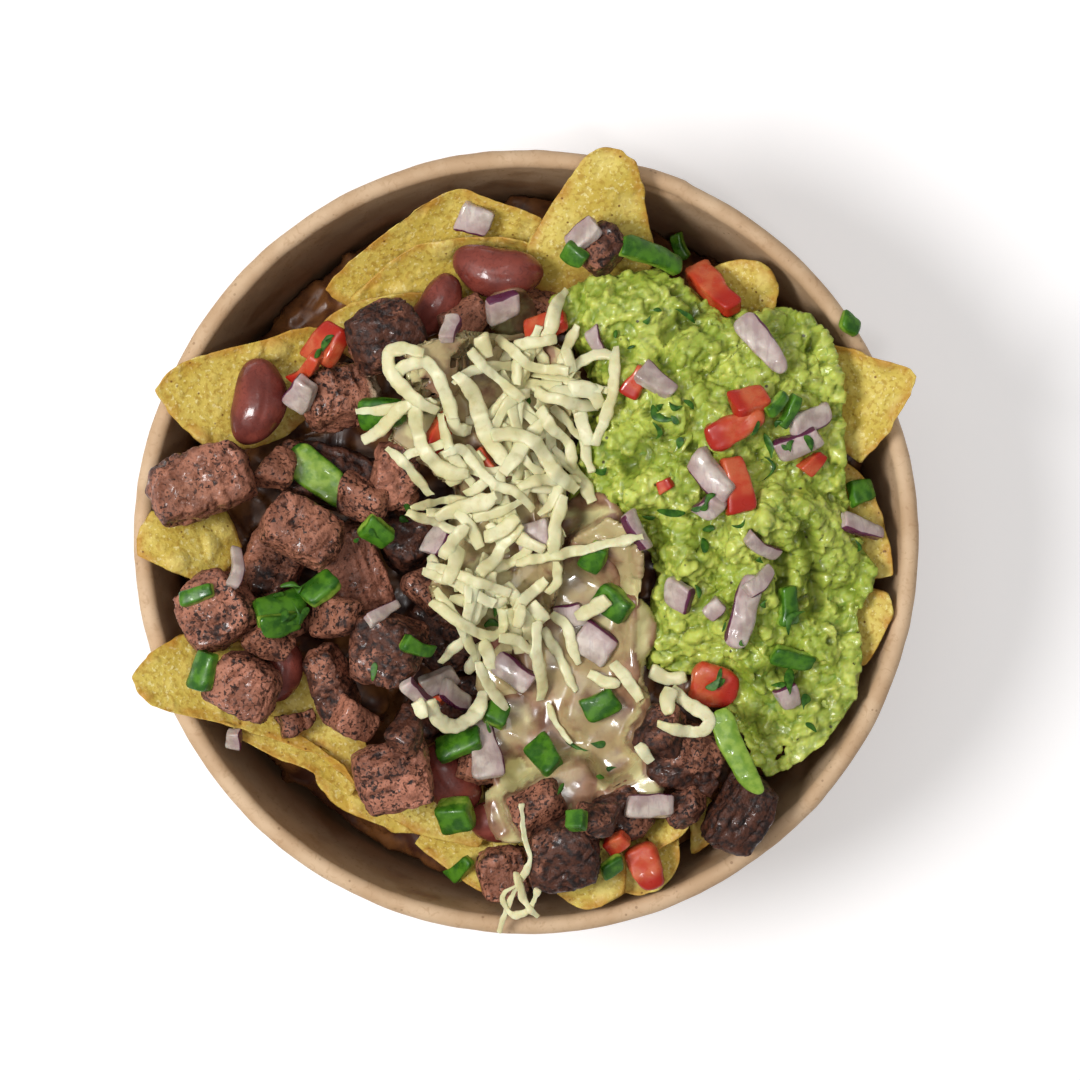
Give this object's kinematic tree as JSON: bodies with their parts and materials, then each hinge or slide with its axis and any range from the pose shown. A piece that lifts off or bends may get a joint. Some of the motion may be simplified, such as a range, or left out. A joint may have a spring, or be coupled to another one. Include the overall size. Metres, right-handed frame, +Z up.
{
  "type": "bowl of nachos",
  "caption": "Round kraft paper bowl filled with tortilla chips, seared steak dice, beans, guacamole, melted and shredded cheese, tomato, red onion and green pepper.",
  "frame": {"origin": "centre of the bowl's foot, on the surface that it stands on", "axes": "+Z up out of the bowl; +X towards the guacamole; +Y towards the chip that stands over the rim"},
  "size_m": [0.15, 0.15, 0.0773],
  "materials": {
    "kraft_paper": "matte brown kraft paper, thinly coated",
    "chips_in_sauce": "food: broken chips in brown sauce",
    "tortilla_chip": "food: fried yellow corn, matte with blisters",
    "seared_steak": "food: seared meat, moist, charred in places",
    "kidney_bean": "food: cooked bean skin, wet gloss",
    "guacamole": "food: mashed avocado, moist and lumpy",
    "shredded_cheese": "food: pale shredded cheese, soft satin",
    "melted_cheese": "food: melted cheese, wet and half clear",
    "tomato": "food: cut tomato, wet gloss",
    "red_onion": "food: cut red onion, half clear, purple skin",
    "jalapeno": "food: cut green pepper, glossy skin"
  },
  "bodies": {
    "root": {"bean_1": "kidney_bean", "bean_2": "kidney_bean", "bean_3": "kidney_bean", "bean_4": "kidney_bean", "bean_5": "kidney_bean", "bean_6": "kidney_bean", "bed": "chips_in_sauce", "bowl": "kraft_paper", "cheese_heap": "shredded_cheese", "chip_bottom_1": "tortilla_chip", "chip_bottom_2": "tortilla_chip", "chip_bottom_3": "tortilla_chip", "chip_bottom_4": "tortilla_chip", "chip_left_1": "tortilla_chip", "chip_left_2": "tortilla_chip", "chip_lower_left_1": "tortilla_chip", "chip_lower_left_2": "tortilla_chip", "chip_lower_left_3": "tortilla_chip", "chip_lower_left_4": "tortilla_chip", "chip_lower_left_5": "tortilla_chip", "chip_right_1": "tortilla_chip", "chip_right_3": "tortilla_chip", "chip_right_4": "tortilla_chip", "chip_right_top": "tortilla_chip", "chip_top": "tortilla_chip", "chip_top_left_1": "tortilla_chip", "chip_top_left_2": "tortilla_chip", "chip_top_left_3": "tortilla_chip", "guacamole": "guacamole", "jalapeno_1": "jalapeno", "jalapeno_2": "jalapeno", "melted_cheese": "melted_cheese", "onion_1": "red_onion", "onion_2": "red_onion", "steak_1": "seared_steak", "steak_10": "seared_steak", "steak_11": "seared_steak", "steak_12": "seared_steak", "steak_13": "seared_steak", "steak_14": "seared_steak", "steak_15": "seared_steak", "steak_16": "seared_steak", "steak_17": "seared_steak", "steak_18": "seared_steak", "steak_19": "seared_steak", "steak_2": "seared_steak", "steak_20": "seared_steak", "steak_21": "seared_steak", "steak_23": "seared_steak", "steak_3": "seared_steak", "steak_3b": "seared_steak", "steak_4": "seared_steak", "steak_5": "seared_steak", "steak_6": "seared_steak", "steak_7": "seared_steak", "steak_8": "seared_steak", "steak_9": "seared_steak", "tomato_1": "tomato", "tomato_2": "tomato", "tomato_3": "tomato"}
  },
  "joints": []
}
